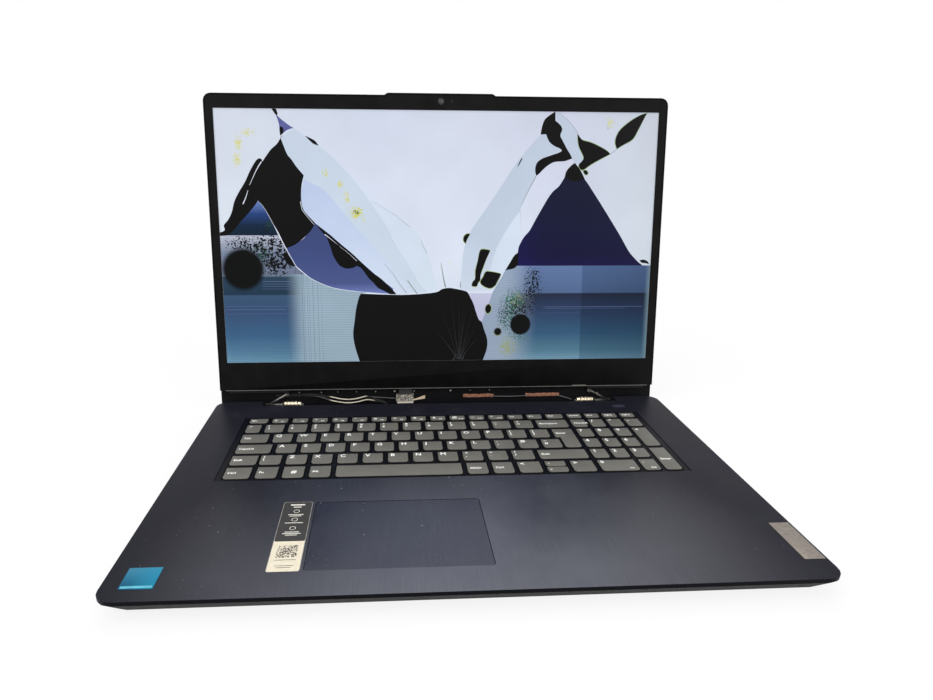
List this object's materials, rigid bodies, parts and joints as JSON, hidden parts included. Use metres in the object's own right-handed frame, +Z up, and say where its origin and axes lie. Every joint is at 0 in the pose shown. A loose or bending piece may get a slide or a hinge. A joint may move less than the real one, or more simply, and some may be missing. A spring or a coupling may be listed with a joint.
{
  "type": "broken laptop",
  "caption": "Open 17 inch laptop with a cracked, leaking display and its hinge cap missing, so the hinges and wires show; lid, keys, touchpad and fan move.",
  "frame": {"origin": "centre of the bottom of the bounding box of the open laptop, on the desk", "axes": "+Z up, +X to the user's right along the hinge, +Y from the user towards the hinge side"},
  "size_m": [0.399, 0.3257, 0.2724],
  "materials": {
    "deck": "satin, finely brushed dark blue, smudged",
    "bottom": "matt black",
    "rubber": "matt",
    "keyboard": "matt warm grey with light legends",
    "power": "satin",
    "steel": "satin",
    "jack": "matt black",
    "battery": "matt wrap",
    "drive": "satin",
    "board": "green solder mask",
    "copper": "bare copper, slightly dulled",
    "fan": "matt black",
    "fins": "bare",
    "nickel": "warm nickel, worn",
    "lid": "satin dark blue",
    "bezel": "matt black",
    "screen": "satin, cracked, with leaked areas and dead bands",
    "wire": "cream sleeve",
    "ribbon": "pale film"
  },
  "bodies": {
    "base": {"antenna_cable_lower": "wire", "antenna_cable_upper": "wire", "audio_jack": "jack", "battery_pack": "battery", "bottom_cover": "bottom", "card_reader": "steel", "cold_plate": "copper", "dc_jack": "jack", "display_cable": "ribbon", "fan_housing": "fan", "foot_front_left": "rubber", "foot_front_right": "rubber", "foot_rear": "rubber", "hard_drive": "drive", "hdmi_port": "steel", "heat_pipe": "copper", "heat_sink": "fins", "hinge_bracket_left": "steel", "hinge_bracket_right": "steel", "io_board": "board", "keyboard_plate": "keyboard", "memory_module": "board", "motherboard": "board", "palmrest_cover": "deck", "speaker_left": "bottom", "speaker_right": "bottom", "ssd_module": "board", "touchpad_bracket": "steel", "usb_port_left": "steel", "usb_port_right": "steel", "wifi_card": "board"},
    "lid": {"lid_cover": "lid", "bezel": "bezel", "display_panel": "screen", "camera_board": "board", "antenna_left": "copper", "antenna_right": "copper", "foil_strip_left": "copper", "foil_strip_right": "copper", "hinge_arm_left": "steel", "hinge_arm_right": "steel", "hinge_washers_left": "nickel", "hinge_washers_right": "nickel"},
    "key_arrow_down": {"key_arrow_down": "keyboard"},
    "key_arrow_left": {"key_arrow_left": "keyboard"},
    "key_arrow_right": {"key_arrow_right": "keyboard"},
    "key_arrow_up": {"key_arrow_up": "keyboard"},
    "key_backspace": {"key_backspace": "keyboard"},
    "key_caps_lock": {"key_caps_lock": "keyboard"},
    "key_enter": {"key_enter": "keyboard"},
    "key_escape": {"key_escape": "keyboard"},
    "key_number_enter": {"key_number_enter": "keyboard"},
    "key_number_plus": {"key_number_plus": "keyboard"},
    "key_shift_left": {"key_shift_left": "keyboard"},
    "key_shift_right": {"key_shift_right": "keyboard"},
    "key_space": {"key_space": "keyboard"},
    "key_tab": {"key_tab": "keyboard"},
    "power_button": {"power_button": "power"},
    "touchpad": {"touchpad": "deck"},
    "fan_impeller": {"fan_impeller": "fan"}
  },
  "joints": [
    {"name": "lid_hinge", "type": "hinge", "parent": "base", "child": "lid", "pos_m": [0, 0.10337, 0.0104], "axis": [-1, 0, 0], "range_deg": [-100.8, 70], "deforming": ["antenna_cable_lower", "antenna_cable_upper", "display_cable"]},
    {"name": "key_arrow_down_press", "type": "slide", "parent": "base", "child": "key_arrow_down", "axis": [0, 0, -1], "range_m": [0, 0.0014], "stiffness_N_per_m": 250, "springref_m": -0.0008},
    {"name": "key_arrow_left_press", "type": "slide", "parent": "base", "child": "key_arrow_left", "axis": [0, 0, -1], "range_m": [0, 0.0014], "stiffness_N_per_m": 250, "springref_m": -0.0008},
    {"name": "key_arrow_right_press", "type": "slide", "parent": "base", "child": "key_arrow_right", "axis": [0, 0, -1], "range_m": [0, 0.0014], "stiffness_N_per_m": 250, "springref_m": -0.0008},
    {"name": "key_arrow_up_press", "type": "slide", "parent": "base", "child": "key_arrow_up", "axis": [0, 0, -1], "range_m": [0, 0.0014], "stiffness_N_per_m": 250, "springref_m": -0.0008},
    {"name": "key_backspace_press", "type": "slide", "parent": "base", "child": "key_backspace", "axis": [0, 0, -1], "range_m": [0, 0.0014], "stiffness_N_per_m": 250, "springref_m": -0.0008},
    {"name": "key_caps_lock_press", "type": "slide", "parent": "base", "child": "key_caps_lock", "axis": [0, 0, -1], "range_m": [0, 0.0014], "stiffness_N_per_m": 250, "springref_m": -0.0008},
    {"name": "key_enter_press", "type": "slide", "parent": "base", "child": "key_enter", "axis": [0, 0, -1], "range_m": [0, 0.0014], "stiffness_N_per_m": 250, "springref_m": -0.0008},
    {"name": "key_escape_press", "type": "slide", "parent": "base", "child": "key_escape", "axis": [0, 0, -1], "range_m": [0, 0.0014], "stiffness_N_per_m": 250, "springref_m": -0.0008},
    {"name": "key_number_enter_press", "type": "slide", "parent": "base", "child": "key_number_enter", "axis": [0, 0, -1], "range_m": [0, 0.0014], "stiffness_N_per_m": 250, "springref_m": -0.0008},
    {"name": "key_number_plus_press", "type": "slide", "parent": "base", "child": "key_number_plus", "axis": [0, 0, -1], "range_m": [0, 0.0014], "stiffness_N_per_m": 250, "springref_m": -0.0008},
    {"name": "key_shift_left_press", "type": "slide", "parent": "base", "child": "key_shift_left", "axis": [0, 0, -1], "range_m": [0, 0.0014], "stiffness_N_per_m": 250, "springref_m": -0.0008},
    {"name": "key_shift_right_press", "type": "slide", "parent": "base", "child": "key_shift_right", "axis": [0, 0, -1], "range_m": [0, 0.0014], "stiffness_N_per_m": 250, "springref_m": -0.0008},
    {"name": "key_space_press", "type": "slide", "parent": "base", "child": "key_space", "axis": [0, 0, -1], "range_m": [0, 0.0014], "stiffness_N_per_m": 250, "springref_m": -0.0008},
    {"name": "key_tab_press", "type": "slide", "parent": "base", "child": "key_tab", "axis": [0, 0, -1], "range_m": [0, 0.0014], "stiffness_N_per_m": 250, "springref_m": -0.0008},
    {"name": "power_button_press", "type": "slide", "parent": "base", "child": "power_button", "axis": [0, 0, -1], "range_m": [0, 0.0005], "stiffness_N_per_m": 1200, "springref_m": -0.0006},
    {"name": "touchpad_click", "type": "hinge", "parent": "base", "child": "touchpad", "pos_m": [-0.04225, -0.07163, 0.01385], "axis": [1, 0, 0], "range_deg": [0, 0.45], "stiffness_Nm_per_rad": 6, "springref_deg": -34.38},
    {"name": "fan_spin", "type": "hinge", "parent": "base", "child": "fan_impeller", "pos_m": [0.025, 0.03437, 0.0045], "axis": [0, 0, 1], "continuous": true}
  ]
}
